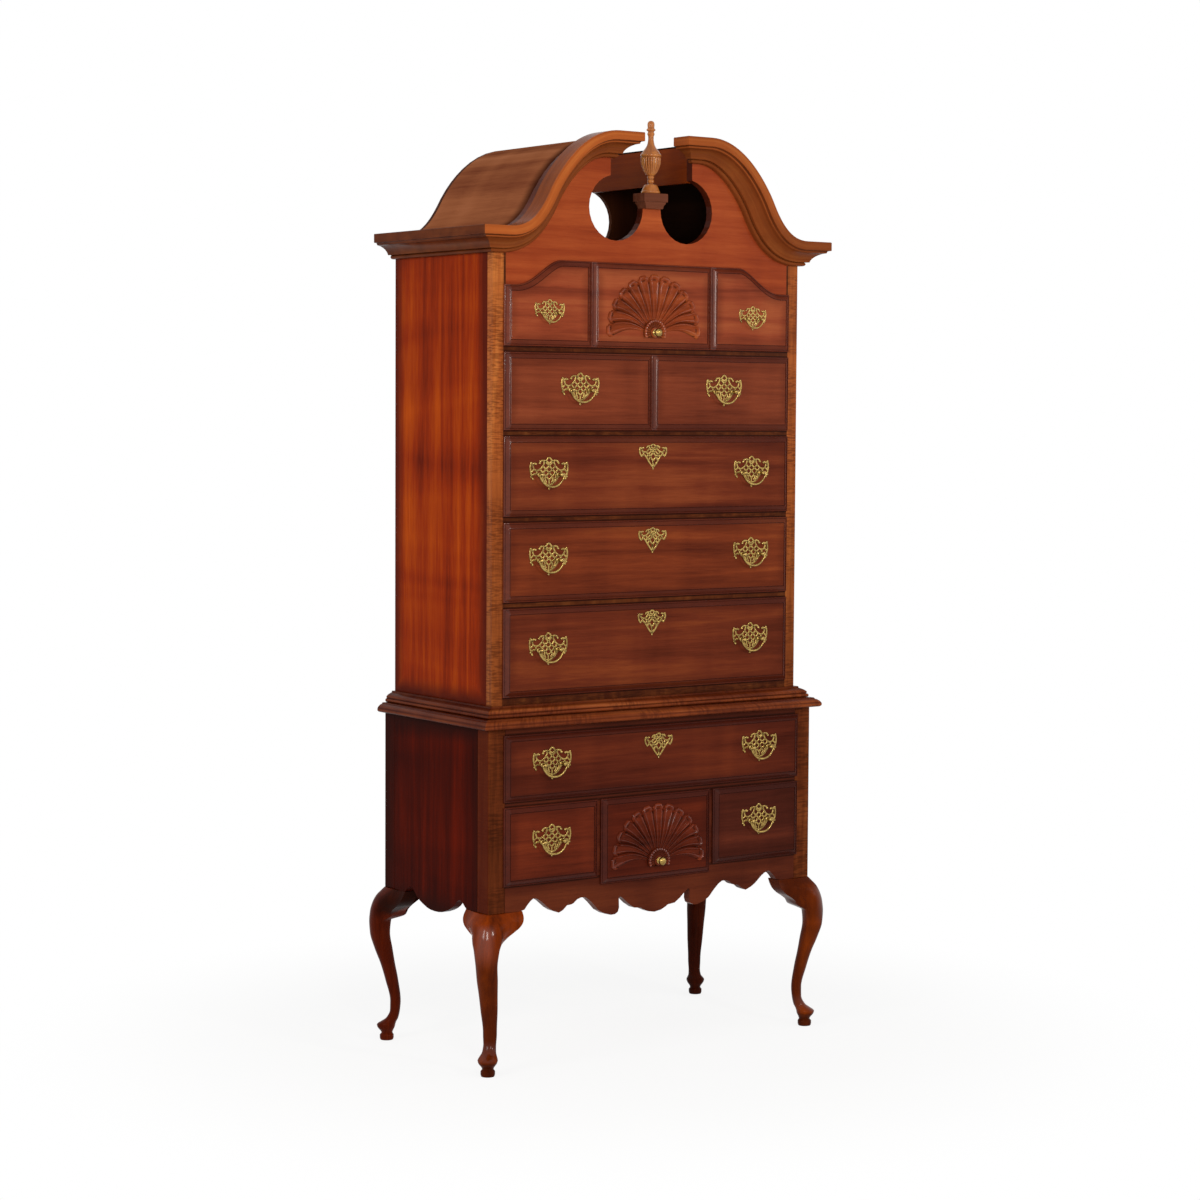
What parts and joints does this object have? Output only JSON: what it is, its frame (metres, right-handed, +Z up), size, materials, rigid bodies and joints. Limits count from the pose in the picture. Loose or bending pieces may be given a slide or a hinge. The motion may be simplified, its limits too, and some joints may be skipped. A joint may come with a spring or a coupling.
{
  "type": "highboy chest of drawers",
  "caption": "Tall two-case chest on cabriole legs, with sliding drawers, swinging bail pulls, a broken gooseneck crown, a bonnet roof and a finial.",
  "frame": {"origin": "on the floor, under the middle of the outer box", "axes": "+X across the width to the viewer's right, -Y out of the drawer fronts, +Z up"},
  "size_m": [0.9906, 0.5312, 2.159],
  "materials": {
    "case_wood": "satin lacquer over red-brown cherry",
    "side_wood": "satin lacquer over orange-brown cherry, grain upright",
    "frame_wood": "satin lacquer over curly golden-brown stiles and rails",
    "crown_wood": "satin lacquer over orange-brown moulding",
    "drawer_wood": "satin lacquer over dark red-brown fronts, grain level",
    "leg_wood": "gloss lacquer over dark red-brown",
    "finial_wood": "satin golden brown",
    "plinth_wood": "satin dark brown",
    "back_wood": "matt dark stain",
    "brass": "antique brass"
  },
  "bodies": {
    "case": {"leg_front_left": "leg_wood", "leg_front_right": "leg_wood", "leg_back_left": "leg_wood", "leg_back_right": "leg_wood", "base_side_left": "case_wood", "base_side_right": "case_wood", "base_back": "back_wood", "base_frame": "case_wood", "waist_board": "case_wood", "upper_base_board": "case_wood", "upper_side_left": "side_wood", "upper_side_right": "side_wood", "upper_back": "back_wood", "upper_frame": "frame_wood", "scroll_board": "case_wood", "bonnet_roof_left": "crown_wood", "bonnet_roof_right": "crown_wood", "crown_left": "crown_wood", "crown_right": "crown_wood", "finial_plinth": "plinth_wood", "finial": "finial_wood"},
    "drawer_top_shell": {"drawer_top_shell": "drawer_wood", "pull_plate_top_shell_left": "brass", "pull_plate_top_shell_right": "brass", "knob_top_shell": "brass"},
    "drawer_upper_2": {"drawer_upper_2": "drawer_wood", "pull_plate_upper_2_left": "brass", "pull_plate_upper_2_right": "brass"},
    "drawer_upper_3": {"drawer_upper_3": "drawer_wood", "pull_plate_upper_3_left": "brass", "pull_plate_upper_3_right": "brass"},
    "drawer_upper_4": {"drawer_upper_4": "drawer_wood", "pull_plate_upper_4_left": "brass", "pull_plate_upper_4_right": "brass"},
    "drawer_upper_5": {"drawer_upper_5": "drawer_wood", "pull_plate_upper_5_left": "brass", "pull_plate_upper_5_right": "brass"},
    "drawer_lower_wide": {"drawer_lower_wide": "drawer_wood", "pull_plate_lower_wide_left": "brass", "pull_plate_lower_wide_right": "brass"},
    "drawer_lower_left": {"drawer_lower_left": "drawer_wood", "pull_plate_lower_left": "brass"},
    "drawer_lower_shell": {"drawer_lower_shell": "drawer_wood", "knob_lower_shell": "brass"},
    "drawer_lower_right": {"drawer_lower_right": "drawer_wood", "pull_plate_lower_right": "brass"},
    "bail_top_shell_left": {"bail_top_shell_left": "brass"},
    "bail_top_shell_right": {"bail_top_shell_right": "brass"},
    "bail_upper_2_left": {"bail_upper_2_left": "brass"},
    "bail_upper_2_right": {"bail_upper_2_right": "brass"},
    "bail_upper_3_left": {"bail_upper_3_left": "brass"},
    "bail_upper_3_right": {"bail_upper_3_right": "brass"},
    "bail_upper_4_left": {"bail_upper_4_left": "brass"},
    "bail_upper_4_right": {"bail_upper_4_right": "brass"},
    "bail_upper_5_left": {"bail_upper_5_left": "brass"},
    "bail_upper_5_right": {"bail_upper_5_right": "brass"},
    "bail_lower_wide_left": {"bail_lower_wide_left": "brass"},
    "bail_lower_wide_right": {"bail_lower_wide_right": "brass"},
    "bail_lower_left": {"bail_lower_left": "brass"},
    "bail_lower_right": {"bail_lower_right": "brass"}
  },
  "joints": [
    {"name": "drawer_top_shell_slide", "type": "slide", "parent": "case", "child": "drawer_top_shell", "axis": [0, -1, 0], "range_m": [0, 0.3]},
    {"name": "drawer_upper_2_slide", "type": "slide", "parent": "case", "child": "drawer_upper_2", "axis": [0, -1, 0], "range_m": [0, 0.3]},
    {"name": "drawer_upper_3_slide", "type": "slide", "parent": "case", "child": "drawer_upper_3", "axis": [0, -1, 0], "range_m": [0, 0.3]},
    {"name": "drawer_upper_4_slide", "type": "slide", "parent": "case", "child": "drawer_upper_4", "axis": [0, -1, 0], "range_m": [0, 0.3]},
    {"name": "drawer_upper_5_slide", "type": "slide", "parent": "case", "child": "drawer_upper_5", "axis": [0, -1, 0], "range_m": [0, 0.3]},
    {"name": "drawer_lower_wide_slide", "type": "slide", "parent": "case", "child": "drawer_lower_wide", "axis": [0, -1, 0], "range_m": [0, 0.3]},
    {"name": "drawer_lower_left_slide", "type": "slide", "parent": "case", "child": "drawer_lower_left", "axis": [0, -1, 0], "range_m": [0, 0.3]},
    {"name": "drawer_lower_shell_slide", "type": "slide", "parent": "case", "child": "drawer_lower_shell", "axis": [0, -1, 0], "range_m": [0, 0.3]},
    {"name": "drawer_lower_right_slide", "type": "slide", "parent": "case", "child": "drawer_lower_right", "axis": [0, -1, 0], "range_m": [0, 0.3]},
    {"name": "bail_top_shell_left_swing", "type": "hinge", "parent": "drawer_top_shell", "child": "bail_top_shell_left", "pos_m": [-0.289, -0.21302, 1.71057], "axis": [-1, 0, 0], "range_deg": [-14, 120]},
    {"name": "bail_top_shell_right_swing", "type": "hinge", "parent": "drawer_top_shell", "child": "bail_top_shell_right", "pos_m": [0.289, -0.21302, 1.71057], "axis": [-1, 0, 0], "range_deg": [-14, 120]},
    {"name": "bail_upper_2_left_swing", "type": "hinge", "parent": "drawer_upper_2", "child": "bail_upper_2_left", "pos_m": [-0.20501, -0.21613, 1.538], "axis": [-1, 0, 0], "range_deg": [-14, 120]},
    {"name": "bail_upper_2_right_swing", "type": "hinge", "parent": "drawer_upper_2", "child": "bail_upper_2_right", "pos_m": [0.20501, -0.21613, 1.538], "axis": [-1, 0, 0], "range_deg": [-14, 120]},
    {"name": "bail_upper_3_left_swing", "type": "hinge", "parent": "drawer_upper_3", "child": "bail_upper_3_left", "pos_m": [-0.289, -0.21613, 1.3471], "axis": [-1, 0, 0], "range_deg": [-14, 120]},
    {"name": "bail_upper_3_right_swing", "type": "hinge", "parent": "drawer_upper_3", "child": "bail_upper_3_right", "pos_m": [0.289, -0.21613, 1.3471], "axis": [-1, 0, 0], "range_deg": [-14, 120]},
    {"name": "bail_upper_4_left_swing", "type": "hinge", "parent": "drawer_upper_4", "child": "bail_upper_4_left", "pos_m": [-0.289, -0.21613, 1.15384], "axis": [-1, 0, 0], "range_deg": [-14, 120]},
    {"name": "bail_upper_4_right_swing", "type": "hinge", "parent": "drawer_upper_4", "child": "bail_upper_4_right", "pos_m": [0.289, -0.21613, 1.15384], "axis": [-1, 0, 0], "range_deg": [-14, 120]},
    {"name": "bail_upper_5_left_swing", "type": "hinge", "parent": "drawer_upper_5", "child": "bail_upper_5_left", "pos_m": [-0.289, -0.21613, 0.95076], "axis": [-1, 0, 0], "range_deg": [-14, 120]},
    {"name": "bail_upper_5_right_swing", "type": "hinge", "parent": "drawer_upper_5", "child": "bail_upper_5_right", "pos_m": [0.289, -0.21613, 0.95076], "axis": [-1, 0, 0], "range_deg": [-14, 120]},
    {"name": "bail_lower_wide_left_swing", "type": "hinge", "parent": "drawer_lower_wide", "child": "bail_lower_wide_left", "pos_m": [-0.297, -0.24613, 0.69429], "axis": [-1, 0, 0], "range_deg": [-14, 120]},
    {"name": "bail_lower_wide_right_swing", "type": "hinge", "parent": "drawer_lower_wide", "child": "bail_lower_wide_right", "pos_m": [0.297, -0.24613, 0.69429], "axis": [-1, 0, 0], "range_deg": [-14, 120]},
    {"name": "bail_lower_left_swing", "type": "hinge", "parent": "drawer_lower_left", "child": "bail_lower_left", "pos_m": [-0.297, -0.24613, 0.51887], "axis": [-1, 0, 0], "range_deg": [-14, 120]},
    {"name": "bail_lower_right_swing", "type": "hinge", "parent": "drawer_lower_right", "child": "bail_lower_right", "pos_m": [0.297, -0.24613, 0.51887], "axis": [-1, 0, 0], "range_deg": [-14, 120]}
  ]
}
